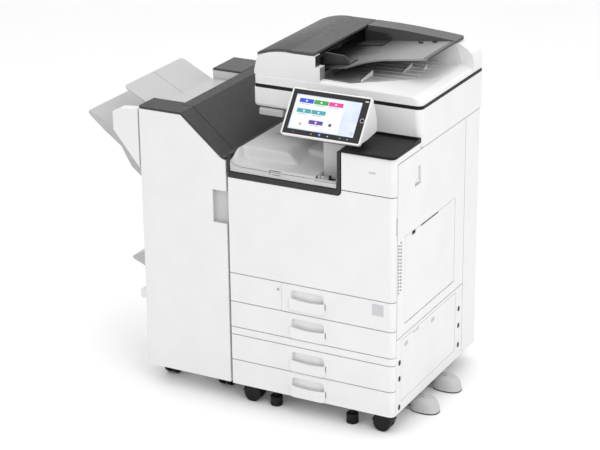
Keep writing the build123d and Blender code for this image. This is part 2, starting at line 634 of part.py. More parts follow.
def transfer_belt_unit():
    """Transfer belt loop with its drive rollers."""
    loop = fillet(block(60, 440, 80, 600, 600, 650).edges().filter_by(Axis.Y), 24)
    inside = fillet(block(62, 438, 79, 601, 602, 648).edges().filter_by(Axis.Y), 22)
    rollers = rod_y(84, 80, 600, 625, 23) + rod_y(416, 80, 600, 625, 23)
    return (loop - inside) + rollers


# ---------------------------------------------------------------- right side
def right_door():
    """Upper right door: skin and rim, a pocket for the bypass tray, cooling holes and a latch recess."""
    y0, y1 = SIDE_DOOR_Y
    z0, z1 = SIDE_DOOR_Z
    x1 = BODY_WIDTH
    x0 = x1 - SIDE_DOOR_THICK
    door = block(x0, x1, y0, y1, z0, z1) - block(x0 - 1, x1 - 4, y0 + 5, y1 - 5, z0 + 5, z1 - 5)
    door = door + block(x0, x1, BYPASS_Y[0] - 7, BYPASS_Y[1] + 7, BYPASS_Z[0] - 8, BYPASS_Z[1] + 7)
    door = door - block(x0 + 4, x1 + 1, BYPASS_Y[0] - 2, BYPASS_Y[1] + 2, BYPASS_Z[0] - 4, BYPASS_Z[1] + 2)
    latch = block(x0 + 2, x1 - 3, 143, 197, 799, 870) - block(x0 + 5, x1, 148, 192, 804, 865)
    door = door + latch - block(x1 - 5, x1 + 1, 148, 192, 804, 865)
    for row in range(VENT_ROWS):
        for y, shift in VENT_COLUMNS:
            z = VENT_LOW + row * VENT_PITCH + shift
            door = door - block(x1 - 5, x1 + 1, y - 4.8, y + 4.8, z, z + 4.5)
    return door - rod_y(BYPASS_PIVOT[0], BYPASS_Y[0] - 6, BYPASS_Y[1] + 6, BYPASS_PIVOT[1], 2.5 + RUN_FIT)


def bypass_tray():
    """Fold-down bypass tray lying flush in its pocket, with its hinge pins and finger notch."""
    tray = block(575, BODY_WIDTH - 0.5, BYPASS_Y[0], BYPASS_Y[1], BYPASS_Z[0], BYPASS_Z[1])
    tray = tray - block(570, 582, BYPASS_Y[0] + 12, BYPASS_Y[1] - 12, BYPASS_Z[0] + 18, BYPASS_Z[1] - 12)
    tray = tray - block(583, 590, 128, 158, BYPASS_Z[1] - 13, BYPASS_Z[1] + 1)
    pins = rod_y(BYPASS_PIVOT[0], BYPASS_Y[0] - 5, BYPASS_Y[1] + 5, BYPASS_PIVOT[1], 2.5)
    return tray + pins


def right_door_lever():
    """Latch lever in the recess of the upper right door."""
    lever = block(577, 581, 151, 189, 812, 862)
    return lever + block(577, 584, 151, 189, 812, 817)


def lower_right_door():
    """Door of the lower paper unit."""
    y0, y1 = LOWER_DOOR_Y
    z0, z1 = LOWER_DOOR_Z
    door = block(575, BODY_WIDTH, y0, y1, z0, z1) - block(570, BODY_WIDTH - 3, y0 + 4, y1 - 4, z0 + 4, z1 - 4)
    return door - block(583, 590, 150, 190, z1 - 12, z1 + 1)


# ---------------------------------------------------------------- finisher
def finisher_frame():
    """Finisher cabinet plates, rear wheel brackets and the lower booklet stop, as separate plates."""
    left_low = block(FIN_LEFT, FIN_LEFT + SKIN, 24, FIN_BACK, 70, 300)
    left_mid = block(FIN_LEFT, FIN_LEFT + SKIN, 24, FIN_BACK, 330, 740)
    left_top = block(FIN_LEFT, FIN_LEFT + SKIN, 24, FIN_BACK, 775, 930)
    right = block(FIN_RIGHT - 9, FIN_RIGHT - 6, 24, FIN_BACK, 70, 835)
    back = block(FIN_LEFT + SKIN, FIN_RIGHT - 9, FIN_BACK - SKIN, FIN_BACK, 70, 838)
    deck = block(FIN_LEFT + SKIN, -210, 24, FIN_BACK - SKIN, 927, 930)
    pan = block(FIN_LEFT, FIN_RIGHT - 6, 24, FIN_BACK, CABINET_BOTTOM, 70)
    for x, y in FIN_CASTERS:
        pan = caster_socket(pan, x, y)
    cheeks = [axle_cheek(x, FIN_REAR_AXLE_Y) for x in (-294.0, -82.0)]
    stop = prism_y([(FIN_LEFT, 250), (-440, 232), (-446, 238), (-446, 262), (FIN_LEFT, 292)], 150, 430)
    return [left_low, left_mid, left_top, right, back, deck, pan, *cheeks, stop]


def slope_profile(drop):
    """Sloping roof outline of the finisher, a given thickness down."""
    return [(-209, FIN_TOP), FIN_KNEE, FIN_TOE, (FIN_RIGHT, 856), (FIN_RIGHT, 856 - drop),
            (FIN_TOE[0] - 3, FIN_TOE[1] - drop), (FIN_KNEE[0] - 3, FIN_TOP - drop), (-209, FIN_TOP - drop)]


def finisher_top_cover():
    """Dark roof: flat front box top, and the slope down to the cabinet with its joint groove."""
    slope = prism_y(slope_profile(FIN_ROOF), 0, FIN_BACK) - prism_y(slope_profile(1.5), 72, 75)
    flat = block(FIN_LEFT, -208, 0, FIN_FRONT_BOX, FIN_TOP - FIN_ROOF, FIN_TOP)
    flat = fillet(edges_at(flat, Axis.Z, x=FIN_LEFT, y=0), 9)
    box_wall = block(FIN_LEFT, -208, FIN_FRONT_BOX - 4, FIN_FRONT_BOX, 931, FIN_TOP - 1)
    side_wall = block(-212, -208, FIN_FRONT_BOX - 4, FIN_REAR_BOX, 950, FIN_TOP - 1)
    return merged(slope, flat, box_wall, side_wall)


def finisher_rear_box():
    """Raised rear hump with a dark lid."""
    hump = block(FIN_LEFT, -213, FIN_REAR_BOX, FIN_BACK, 931, FIN_TOP)
    hump = fillet(hump.faces().sort_by(Axis.Z)[-1].edges(), 4)
    return hump


def finisher_wing():
    """White guard beside the upper trays."""
    wing = prism_y([(-334, 772), (-430, 889), (-430, 951), (-402, 966), (-334, 972)], 3, 36)
    return wing


def finisher_door():
    """Tall white door with the sloping shoulder and a grip recess at its right edge."""
    top = FIN_TOP - FIN_ROOF - 1.5
    door = prism_y([(FIN_LEFT, 69), (FIN_RIGHT, 69), (FIN_RIGHT, 847), (-25, 852), (-171, top),
                    (FIN_LEFT, top)], 0, FRONT_THICK)
    hollow = prism_y([(FIN_LEFT + 5, 74), (FIN_RIGHT - 5, 74), (FIN_RIGHT - 5, 842), (-27, 847),
                      (-173, top - 6), (FIN_LEFT + 5, top - 6)], 4, FRONT_THICK + 1)
    door = fillet(edges_at(door, Axis.Z, x=FIN_LEFT, y=0), 5)
    recess_walls = block(-62, FIN_RIGHT, 0, FRONT_THICK, 626, 746)
    return (door - hollow) + recess_walls - block(-58, FIN_RIGHT + 1, -1, 15, 630, 742)


def proof_tray():
    """Fixed upper tray of the finisher, with rounded far corners and a shallow centre channel."""
    tray = prism_y([(-335, 941), (-450, 1000), (-453, 1004), (-449, 1006), (-335, 947)], 106, 478)
    plan = fillet(block(-453, -335, 106, 478, 930, 1010).edges().filter_by(Axis.Z).group_by(Axis.X)[0], 22)
    tray = tray & plan
    tray = tray - prism_y([(-335, 945.5), (-450, 1004.5), (-450, 1010), (-335, 960)], 286, 289)
    return tray + prism_y([(-335, 931), (-335, 947), (-222, 947), (-222, 931)], 135, 476)


def shift_tray():
    """Moving main tray: sloping top with deep S-shaped cheeks."""
    side = [(-333, 668), (-388, 698), (-428, 730), (-446, 760), (-467, 797), (-530, 842), (-584, 887),
            (-591, 898), (-586, 906), (-333, 790)]
    solid = prism_y(side, 100, 480)
    inner = [(-338, 684), (-384, 708), (-422, 738), (-440, 768), (-463, 806), (-526, 851), (-570, 888),
             (-338, 782)]
    return solid - prism_y(inner, 105, 475)


def booklet_tray():
    """Small wedge tray low on the finisher's left side."""
    wedge = prism_y([(-333, 455), (-470, 384), (-474, 378), (-468, 372), (-333, 318)], 150, 430)
    return wedge - prism_y([(-340, 440), (-452, 380), (-340, 334)], 155, 425)


def stapler_unit():
    """Staple head on its rail inside the finisher."""
    head = block(-230, -170, 160, 220, 780, 850)
    return fillet(head.edges().filter_by(Axis.Z), 8)


# ---------------------------------------------------------------- writing
def write_all():
    write_node("base_frame", *base_frame())
    write_node("main_frame", *main_frame())
    write_node("levelling_feet", *[levelling_foot(x, y) for x, y in FEET])
    write_node("stabiliser_covers", *[stabiliser_cover(y) for y in STABILISER_Y])
    write_node("rear_cover", rear_cover())
    write_node("power_inlet", power_inlet())
    write_node("right_rear_cover", right_rear_cover())
    write_node("drawer_divider", drawer_divider())
    write_node("lower_side_cover", lower_side_cover())
    write_node("upper_front_cover", upper_front_cover())
    write_node("exit_trim", exit_trim())
    write_node("work_shelf", work_shelf())
    write_node("output_tray", output_tray())
    write_node("cavity_wall", *cavity_wall())
    write_node("scanner_housing", scanner_housing())
    write_node("scanner_top_frame", scanner_top_frame())
    write_node("platen_glass", block(30.4, 489.6, 215.4, 529.6, SCANNER_TOP + 3.2, BAND_TOP - 1))
    write_node("scanner_carriage", scanner_carriage())
    write_node("adf_body", adf_body())
    write_node("adf_feed_cover", adf_feed_cover())
    write_node("adf_input_tray", adf_input_tray())
    write_node("adf_guide_front", adf_guide(256, 320, 256))
    write_node("adf_guide_rear", adf_guide(500, 564, 558))
    write_node("adf_roller", adf_roller())
    write_node("panel_bracket", panel_bracket())
    write_node("panel_housing", panel_housing())
    write_node("panel_screen", panel_screen())
    write_node("home_button", home_button())
    write_node("front_door", front_door())
    for number, (z0, z1) in zip((4, 3, 2, 1), DRAWER_LINES):
        write_node(f"paper_tray_{number}", paper_tray(z0, z1))
    write_node("inner_cover", inner_cover())
    write_node("toner_bottles", *[toner_bottle(x) for x in TONER_X])
    write_node("fuser_unit", fuser_unit())
    write_node("transfer_belt_unit", transfer_belt_unit())
    write_node("right_door", right_door())
    write_node("bypass_tray", bypass_tray())
    write_node("right_door_lever", right_door_lever())
    write_node("lower_right_door", lower_right_door())
    write_node("finisher_frame", *finisher_frame())
    write_node("finisher_top_cover", finisher_top_cover())
    write_node("finisher_rear_box", finisher_rear_box())
    write_node("finisher_wing", finisher_wing())
    write_node("finisher_door", finisher_door())
    write_node("proof_tray", proof_tray())
    write_node("shift_tray", shift_tray())
    write_node("booklet_tray", booklet_tray())
    write_node("stapler_unit", stapler_unit())
    casters = [(place, x, y, -90) for place, (x, y) in zip(("left", "right"), BODY_CASTERS)]
    casters += [(place, x, y, 0) for place, (x, y) in zip(("finisher_left", "finisher_right"), FIN_CASTERS)]
    for place, x, y, turn in casters:
        write_node(f"caster_fork_{place}", caster_place(x, y, turn) * caster_fork())
        write_node(f"caster_wheel_{place}", caster_place(x, y, turn) * twin_wheel(0, CASTER_TRAIL))
    write_node("rear_wheels", rear_wheels(BODY_REAR_WHEELS, BODY_REAR_AXLE_Y))
    write_node("finisher_rear_wheels", rear_wheels((-294.0, -82.0), FIN_REAR_AXLE_Y))


if __name__ == "__main__":
    os.makedirs("parts", exist_ok=True)
    write_all()
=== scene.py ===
"""Looks of the floor-standing photocopier: camera, light, floor, materials and the finer pieces.

Lengths that belong to the machine are given in millimetres in machine coordinates (x from the cabinet's
left side, y from its front face, z from the floor) and at() turns them into metres in the shared frame.
"""
from math import cos, pi, radians, sin

import bmesh
import bpy
from mathutils import Matrix, Vector


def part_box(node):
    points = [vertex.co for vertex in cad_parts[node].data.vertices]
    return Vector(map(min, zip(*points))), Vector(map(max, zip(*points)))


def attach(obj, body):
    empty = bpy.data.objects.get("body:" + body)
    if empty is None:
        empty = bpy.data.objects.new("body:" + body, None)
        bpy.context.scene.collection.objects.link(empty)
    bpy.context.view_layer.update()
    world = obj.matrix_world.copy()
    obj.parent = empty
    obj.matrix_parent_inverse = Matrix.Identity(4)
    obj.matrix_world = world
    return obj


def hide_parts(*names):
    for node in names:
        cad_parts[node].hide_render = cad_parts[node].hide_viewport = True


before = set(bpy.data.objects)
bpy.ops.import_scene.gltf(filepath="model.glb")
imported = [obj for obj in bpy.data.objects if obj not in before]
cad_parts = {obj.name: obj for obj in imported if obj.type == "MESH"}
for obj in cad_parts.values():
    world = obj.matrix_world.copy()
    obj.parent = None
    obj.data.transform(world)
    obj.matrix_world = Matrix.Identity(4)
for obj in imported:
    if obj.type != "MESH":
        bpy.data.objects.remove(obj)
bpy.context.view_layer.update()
MM = 0.001

# ------------------------------------------------------------------ places taken from the frame
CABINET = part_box("front_door")
ORIGIN = Vector((CABINET[0][0], CABINET[0][1], 0.0))


def at(x, y, z):
    """Machine millimetres to a point in the frame."""
    return ORIGIN + Vector((x, y, z)) * MM


# ------------------------------------------------------------------ materials
def new_material(name):
    """Empty node material with its shader, output and object coordinates."""
    mat = bpy.data.materials.new(name)
    mat.use_nodes = True
    tree = mat.node_tree
    tree.nodes.clear()
    output = tree.nodes.new("ShaderNodeOutputMaterial")
    shader = tree.nodes.new("ShaderNodeBsdfPrincipled")
    tree.links.new(shader.outputs["BSDF"], output.inputs["Surface"])
    coords = tree.nodes.new("ShaderNodeTexCoord")
    return mat, tree, shader, coords.outputs["Object"]


def noise(tree, vector, scale, detail=2.0):
    """Noise factor at a scale in cycles per metre."""
    node = tree.nodes.new("ShaderNodeTexNoise")
    node.inputs["Scale"].default_value = scale
    node.inputs["Detail"].default_value = detail
    tree.links.new(vector, node.inputs["Vector"])
    return node.outputs["Fac"]


def ramp(tree, factor, low, high, start=0.3, end=0.7):
    """Colour between two tones."""
    node = tree.nodes.new("ShaderNodeValToRGB")
    node.color_ramp.elements[0].position = start
    node.color_ramp.elements[0].color = (*low, 1.0)
    node.color_ramp.elements[1].position = end
    node.color_ramp.elements[1].color = (*high, 1.0)
    tree.links.new(factor, node.inputs["Fac"])
    return node.outputs["Color"]


def spread(tree, factor, low, high):
    """Number between two limits."""
    node = tree.nodes.new("ShaderNodeMapRange")
    node.inputs["From Min"].default_value = 0.3
    node.inputs["From Max"].default_value = 0.7
    node.inputs["To Min"].default_value = low
    node.inputs["To Max"].default_value = high
    tree.links.new(factor, node.inputs["Value"])
    return node.outputs["Result"]


def math_node(tree, operation, a, b):
    """Result of a sum on two numbers or sockets."""
    node = tree.nodes.new("ShaderNodeMath")
    node.operation = operation
    for socket, value in zip(node.inputs, (a, b)):
        if isinstance(value, (int, float)):
            socket.default_value = value
        else:
            tree.links.new(value, socket)
    return node.outputs[0]


def bump(tree, shader, height, strength, distance):
    """Relief on a shader's normal, its distance in metres."""
    node = tree.nodes.new("ShaderNodeBump")
    node.inputs["Strength"].default_value = strength
    node.inputs["Distance"].default_value = distance
    tree.links.new(height, node.inputs["Height"])
    tree.links.new(node.outputs["Normal"], shader.inputs["Normal"])


def shades(color, amount):
    """A slightly darker and a slightly lighter tone of a colour."""
    return tuple(c * (1 - amount) for c in color), tuple(min(1.0, c * (1 + amount)) for c in color)


def box_mask(tree, vector, low, high):
    """1 inside a box given by two machine corners, 0 outside."""
    split = tree.nodes.new("ShaderNodeSeparateXYZ")
    tree.links.new(vector, split.inputs[0])
    a, b = at(*low), at(*high)
    inside = None
    for axis in range(3):
        compare = tree.nodes.new("ShaderNodeMath")
        compare.operation = "COMPARE"
        tree.links.new(split.outputs[axis], compare.inputs[0])
        compare.inputs[1].default_value = (a[axis] + b[axis]) / 2
        compare.inputs[2].default_value = (b[axis] - a[axis]) / 2
        within = compare.outputs[0]
        inside = within if inside is None else math_node(tree, "MULTIPLY", inside, within)
    return inside


def blended(tree, factor, first, second):
    """Mix of two colours."""
    node = tree.nodes.new("ShaderNodeMix")
    node.data_type = "RGBA"
    tree.links.new(factor, node.inputs["Factor"])
    tree.links.new(first, node.inputs["A"])
    tree.links.new(second, node.inputs["B"])
    return node.outputs["Result"]


def graded(tree, vector, left, right, x0, x1):
    """Colour that changes across the machine between two places, x0 to x1."""
    split = tree.nodes.new("ShaderNodeSeparateXYZ")
    tree.links.new(vector, split.inputs[0])
    across = tree.nodes.new("ShaderNodeMapRange")
    across.inputs["From Min"].default_value = at(x0, 0, 0).x
    across.inputs["From Max"].default_value = at(x1, 0, 0).x
    tree.links.new(split.outputs[0], across.inputs["Value"])
    return ramp(tree, across.outputs["Result"], left, right, 0.0, 1.0)


def moulded_plastic(name, color, roughness, grain=900.0, depth=0.00006, cloud=0.02, shine=0.45, zones=(),
                    painted_light_fades=()):
    """Moulded plastic: fine spark-eroded grain, faint cloudy tone and uneven gloss.

    zones are (low corner, high corner, colour) boxes in machine millimetres in another tone: most are moulded
    colours, two paint shade into the finisher door's grip recess and the lid's slot, and one paints the
    drawer handle pocket lighter as painted light against its shade;
    the boxes that run across are (low corner, high corner, left colour, right colour, x0, x1) with a tone
    that runs across: painted shade in the feeder's pocket and a painted shadow and sheen on its tray, in part
    over a darker moulding.
    """
    mat, tree, shader, vector = new_material(name)
    clouds = noise(tree, vector, 9.0, 3.0)
    tone = ramp(tree, clouds, *shades(color, cloud))
    for low, high, zone_color in zones:
        zone_tone = ramp(tree, clouds, *shades(zone_color, cloud))
        tone = blended(tree, box_mask(tree, vector, low, high), tone, zone_tone)
    for low, high, left, right, x0, x1 in painted_light_fades:
        painted_fade_tone = graded(tree, vector, left, right, x0, x1)
        tone = blended(tree, box_mask(tree, vector, low, high), tone, painted_fade_tone)
    tree.links.new(tone, shader.inputs["Base Color"])
    gloss = spread(tree, noise(tree, vector, 60.0, 4.0), roughness * 0.88, roughness * 1.12)
    tree.links.new(gloss, shader.inputs["Roughness"])
    bump(tree, shader, noise(tree, vector, grain, 1.0), 0.35, depth)
    shader.inputs["Specular IOR Level"].default_value = shine
    return mat


def sheet_metal(name, color, roughness):
    """Zinc-plated sheet: stretched rolling marks along y and small spangles."""
    mat, tree, shader, vector = new_material(name)
    mapping = tree.nodes.new("ShaderNodeMapping")
    mapping.inputs["Scale"].default_value = (1.0, 0.08, 1.0)
    tree.links.new(vector, mapping.inputs["Vector"])
    low, high = shades(color, 0.12)
    brushed = noise(tree, mapping.outputs["Vector"], 420.0, 3.0)
    tree.links.new(ramp(tree, brushed, low, high), shader.inputs["Base Color"])
    tree.links.new(spread(tree, noise(tree, vector, 35.0, 3.0), roughness * 0.8, roughness * 1.2),
                   shader.inputs["Roughness"])
    bump(tree, shader, brushed, 0.2, 0.00005)
    shader.inputs["Metallic"].default_value = 0.9
    return mat


def glass(name, color, alpha):
    """Clear plate with a faint smear in its gloss."""
    mat, tree, shader, vector = new_material(name)
    low, high = shades(color, 0.03)
    tree.links.new(ramp(tree, noise(tree, vector, 6.0), low, high), shader.inputs["Base Color"])
    tree.links.new(spread(tree, noise(tree, vector, 14.0, 4.0), 0.03, 0.08), shader.inputs["Roughness"])
    shader.inputs["Alpha"].default_value = alpha
    shader.inputs["IOR"].default_value = 1.5
    return mat


def lit_display(name, low, high, strength, scale=8.0):
    """Backlit picture element: a soft tone change that also gives light."""
    mat, tree, shader, vector = new_material(name)
    color = ramp(tree, noise(tree, vector, scale, 2.0), low, high)
    tree.links.new(color, shader.inputs["Base Color"])
    tree.links.new(color, shader.inputs["Emission Color"])
    shader.inputs["Emission Strength"].default_value = strength
    shader.inputs["Roughness"].default_value = 0.25
    return mat


WHITE = (0.73, 0.73, 0.735)
BASKET = (0.16, 0.16, 0.165)

# The third feeder box darkens the slot along the lid's front face: painted shade in the slot.
FEEDER_TONES_AND_SLOT_SHADE = (((200, 194.5, 1096), (216.5, 598, 1166.5), (0.02, 0.02, 0.02)),
                ((118, 229, 1090), (210, 600, 1168), (0.02, 0.02, 0.02)),
                ((187, 185, 1055), (369, 199, 1060.5), (0.05, 0.05, 0.05)),
                ((231.5, 194.5, 1084), (232.5, 228.5, 1130.5), (0.20, 0.20, 0.2)))
# The feeder pocket's floor runs from dark grey at the feed block to white further right: painted shade from
# the feed block and its cover, partly over a darker moulding.
FEEDER_POCKET_SHADE = (((206, 216, 1060), (536, 597.5, 1077.6), (0.14, 0.14, 0.142), (0.76, 0.76, 0.765), 236, 420),)
TRAY_ZONES = (((533.3, 340, 1130), (535, 650, 1165), (0.006, 0.006, 0.006)),)
# The input tray runs from near black at the left to a lighter grey at the right: painted shadow of the feed
# cover at the left and a painted sheen on the glossy tray at the right.
TRAY_SHADOW_AND_SHEEN = (((200, 226, 1100), (533, 571.9, 1158), (0.012, 0.012, 0.012), (0.25, 0.25, 0.252), 245, 430),)
TONER_ZONES = tuple(((x - 34, 20, 690), (x + 34, 61, 780), color) for x, color in
                    ((90, (0.02, 0.02, 0.02)), (190, (0.02, 0.25, 0.5)), (290, (0.5, 0.02, 0.15)),
                     (390, (0.6, 0.45, 0.02))))

MATERIALS = {
    "white": moulded_plastic("white moulding", WHITE, 0.42),
    "white_soft": moulded_plastic("white moulding, soft grain", (0.80, 0.80, 0.805), 0.5, grain=600.0),
    "feeder": moulded_plastic("feeder white, painted pocket and slot shade", WHITE, 0.4, zones=FEEDER_TONES_AND_SLOT_SHADE, painted_light_fades=FEEDER_POCKET_SHADE),
    # The drawers' second box paints the handle pocket lighter than the front: painted light that makes up for
    # the shade in the pocket.
    "drawer": moulded_plastic("drawer front and basket, painted pocket light", WHITE, 0.42,
                              zones=(((-20, 20.3, 60), (600, 700, 480), BASKET),
                                     ((221, 3, 60), (341, 15.5, 480), (0.80, 0.80, 0.805)))),
    # The finisher door's grip recess is painted mid grey: painted shade in the recess.
    "finisher_door": moulded_plastic("finisher door", WHITE, 0.42,
                                     zones=(((-59, 0.5, 629), (-7, 16, 743), (0.50, 0.50, 0.505)),)),
    "hump": moulded_plastic("finisher rear box", (0.62, 0.62, 0.625), 0.42,
                            zones=(((-400, 400, 976), (0, 700, 990), (0.05, 0.05, 0.052)),)),
    "dark": moulded_plastic("dark moulding", (0.036, 0.036, 0.038), 0.5, grain=1100.0, depth=0.0001,
                            cloud=0.08, shine=0.35),
    # The pocket's end wall runs from dark grey at the left to white at the right: painted shade on the wall,
    # partly a darker moulding.
    "end_wall": moulded_plastic("feeder pocket wall, painted shade", WHITE, 0.4,
                                painted_light_fades=(((230, 590, 1060), (552, 600, 1170), (0.10, 0.10, 0.102),
                                        (0.72, 0.72, 0.725), 360, 500),)),
    "dark_top": moulded_plastic("feeder dark moulding", (0.056, 0.056, 0.058), 0.46, grain=1000.0,
                                depth=0.0001, cloud=0.06),
    "input_tray": moulded_plastic("feeder tray moulding, painted shadow and sheen", (0.070, 0.070, 0.072), 0.36, grain=1000.0,
                                  depth=0.0001, cloud=0.06, zones=TRAY_ZONES, painted_light_fades=TRAY_SHADOW_AND_SHEEN),
    "trim": moulded_plastic("cavity trim", (0.016, 0.016, 0.017), 0.42, cloud=0.08),
    "shelf": moulded_plastic("work shelf", (0.006, 0.006, 0.007), 0.42, cloud=0.08, shine=0.2),
    "band": moulded_plastic("scanner band", (0.007, 0.007, 0.008), 0.45, cloud=0.08, shine=0.2),
    "black": moulded_plastic("black moulding", (0.004, 0.004, 0.0045), 0.4, cloud=0.1, shine=0.25),
    "grey": moulded_plastic("light grey moulding", (0.48, 0.48, 0.485), 0.4, cloud=0.03),
    # The exit ribs run from dark grey at the feed block to white: painted shade like the pocket floor's.
    "exit_ribs": moulded_plastic("exit ribs, painted shade", WHITE, 0.4,
                                 painted_light_fades=(((230, 200, 1060), (540, 600, 1090), (0.16, 0.16, 0.162),
                                         (0.78, 0.78, 0.785), 236, 420),)),
    "ramp_grey": moulded_plastic("exit ramp grey", (0.14, 0.14, 0.142), 0.32, cloud=0.1),
    "grey_low": moulded_plastic("mid grey moulding", (0.30, 0.30, 0.305), 0.42, cloud=0.04),
    "tray": moulded_plastic("light grey tray", (0.47, 0.47, 0.475), 0.35, cloud=0.02),
    "tray_floor": moulded_plastic("output tray grey", (0.50, 0.50, 0.505), 0.36, cloud=0.03),
    "grey_dark": moulded_plastic("dark grey detail", (0.12, 0.12, 0.122), 0.5, cloud=0.05),
    "shift": moulded_plastic("main tray grey", (0.46, 0.46, 0.465), 0.38, cloud=0.03),
    "guide": moulded_plastic("guide grey", (0.025, 0.025, 0.026), 0.4, cloud=0.06),
    "foot": moulded_plastic("stabiliser grey", (0.49, 0.49, 0.495), 0.45, cloud=0.03,
                            zones=(((460, 100, -5), (700, 500, 4.5), (0.05, 0.05, 0.05)),)),
    "steel": sheet_metal("zinc plated sheet", (0.55, 0.56, 0.57), 0.4),
    "rubber": moulded_plastic("rubber", (0.02, 0.02, 0.021), 0.7, grain=1500.0, depth=0.0002, cloud=0.1),
    "toner": moulded_plastic("toner bottle", (0.05, 0.05, 0.055), 0.4, cloud=0.1, zones=TONER_ZONES),
    "glass": glass("platen glass", (0.7, 0.76, 0.77), 0.35),
    "screen": moulded_plastic("screen glass", (0.012, 0.012, 0.013), 0.12, grain=200.0, depth=0.000005),
}

NODE_MATERIALS = {
    "white": "right_rear_cover drawer_divider lower_side_cover upper_front_cover scanner_housing "
             "panel_housing front_door right_door right_door_lever bypass_tray lower_right_door "
             "finisher_wing",
    "white_soft": "rear_cover finisher_frame",
    "feeder": "adf_body",
    "drawer": "paper_tray_1 paper_tray_2 paper_tray_3 paper_tray_4",
    "finisher_door": "finisher_door",
    "hump": "finisher_rear_box",
    "dark": "finisher_top_cover",
    "trim": "exit_trim",
    "dark_top": "adf_feed_cover",
    "input_tray": "adf_input_tray",
    "shelf": "work_shelf",
    "band": "scanner_top_frame",
    "tray": "proof_tray booklet_tray",
    "shift": "shift_tray",
    "grey": "output_tray cavity_wall",
    "foot": "stabiliser_covers",
    "guide": "adf_guide_front adf_guide_rear",
    "steel": "base_frame main_frame panel_bracket fuser_unit scanner_carriage",
    "rubber": "adf_roller transfer_belt_unit",
    "toner": "toner_bottles",
    "black": "power_inlet inner_cover stapler_unit home_button levelling_feet caster_fork_left "
             "caster_fork_right caster_fork_finisher_left caster_fork_finisher_right caster_wheel_left "
             "caster_wheel_right caster_wheel_finisher_left caster_wheel_finisher_right rear_wheels "
             "finisher_rear_wheels",
    "glass": "platen_glass",
    "screen": "panel_screen",
}


WELD_GAP = 0.01
EDGE_BREAK = 0.7
EDGE_ANGLE = radians(40)
PIECE_ANGLE = radians(35)


def dress_node(node, mat):
    """Give a CAD node its material, and break its sharp edges with a small bevel."""
    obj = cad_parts[node]
    obj.data.materials.clear()
    obj.data.materials.append(mat)
    weld = obj.modifiers.new("weld", "WELD")
    weld.merge_threshold = WELD_GAP * MM
    bevel = obj.modifiers.new("bevel", "BEVEL")
    bevel.width = EDGE_BREAK * MM
    bevel.segments = 2
    bevel.limit_method = "ANGLE"
    bevel.angle_limit = EDGE_ANGLE
    bevel.harden_normals = True


def dress_all():
    """Give every CAD node the material named for it."""
    for key, names in NODE_MATERIALS.items():
        for node in names.split():
            dress_node(node, MATERIALS[key])


# ------------------------------------------------------------------ mesh helpers
def finish_piece(name, mesh, body, mat, bevel=0.0, smooth=False):
    """Turn a bmesh into a piece that rides on a body."""
    bmesh.ops.recalc_face_normals(mesh, faces=mesh.faces)
    data = bpy.data.meshes.new(name)
    mesh.to_mesh(data)
    mesh.free()
    data.materials.append(mat)
    piece = bpy.data.objects.new(name, data)
    bpy.context.collection.objects.link(piece)
    if bevel:
        modifier = piece.modifiers.new("bevel", "BEVEL")
        modifier.width = bevel * MM
        modifier.segments = 3
        modifier.limit_method = "ANGLE"
        modifier.angle_limit = PIECE_ANGLE
        modifier.harden_normals = True
    if smooth:
        for face in data.polygons:
            face.use_smooth = True
    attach(piece, body)
    return piece


def add_prism(mesh, outline, shift):
    """Closed prism from an outline of points and a vector."""
    low = [mesh.verts.new(p) for p in outline]
    high = [mesh.verts.new(Vector(p) + shift) for p in outline]
    mesh.faces.new(low)
    mesh.faces.new(reversed(high))
    for i, vert in enumerate(low):
        j = (i + 1) % len(low)
        mesh.faces.new((vert, low[j], high[j], high[i]))


def add_block(mesh, x0, x1, y0, y1, z0, z1):
    """Box between two machine corners."""
    outline = [at(x0, y0, z0), at(x1, y0, z0), at(x1, y1, z0), at(x0, y1, z0)]
    add_prism(mesh, outline, Vector((0, 0, (z1 - z0) * MM)))


def rounded(x0, x1, v0, v1, radius, steps=5):
    """Outline of a rectangle with rounded corners, as pairs."""
    points = []
    corners = ((x1 - radius, v1 - radius, 0), (x0 + radius, v1 - radius, 1),
               (x0 + radius, v0 + radius, 2), (x1 - radius, v0 + radius, 3))
    for cx, cv, quarter in corners:
        for step in range(steps + 1):
            angle = (quarter + step / steps) * pi / 2
            points.append((cx + radius * cos(angle), cv + radius * sin(angle)))
    return points


def smoothstep(value, start, end):
    """Smooth rise from 0 to 1 between two values."""
    t = min(1.0, max(0.0, (value - start) / (end - start)))
    return t * t * (3 - 2 * t)


# ------------------------------------------------------------------ operation panel picture
PANEL_LEAN = radians(37.3)
PANEL_FOOT = (2.0, 966.5)
PICTURE = (210.0, 436.0, 22.0, 137.0)
TILE_COLUMNS = (224.0, 275.0, 326.0)
TILE_WIDTH = 49.0
TILE_ROWS = ((111.0, 125.0), (78.0, 91.5), (45.0, 58.0))
BLUE, GREEN, PINK = (0.012, 0.035, 0.36), (0.02, 0.19, 0.015), (0.44, 0.014, 0.17)
TEAL, PURPLE = (0.03, 0.19, 0.22), (0.065, 0.018, 0.17)
TILE_COLORS = ((BLUE, GREEN, PINK), (TEAL, TEAL, None), (None, PURPLE, None))
FUNCTION_ICONS = ((232, (0.22, 0.08, 0.07), 2.0), (295, (0.2, 0.17, 0.08), 2.4), (351, (0.5, 0.5, 0.5), 2.0),
                  (394, (0.16, 0.16, 0.16), 2.6), (419, (0.2, 0.2, 0.24), 2.4))
ON_GLASS, ON_FIELD, ON_PAGE, ON_TILE = -0.35, -0.2, -0.1, 0.0
THIN = 0.1
HOME_KEY = (451, 80)


def on_panel(x, up, out):
    """Point on the tilted panel: across, up its face, and out from the glass."""
    y = PANEL_FOOT[0] + up * sin(PANEL_LEAN) - out * cos(PANEL_LEAN)
    z = PANEL_FOOT[1] + up * cos(PANEL_LEAN) + out * sin(PANEL_LEAN)
    return at(x, y, z)


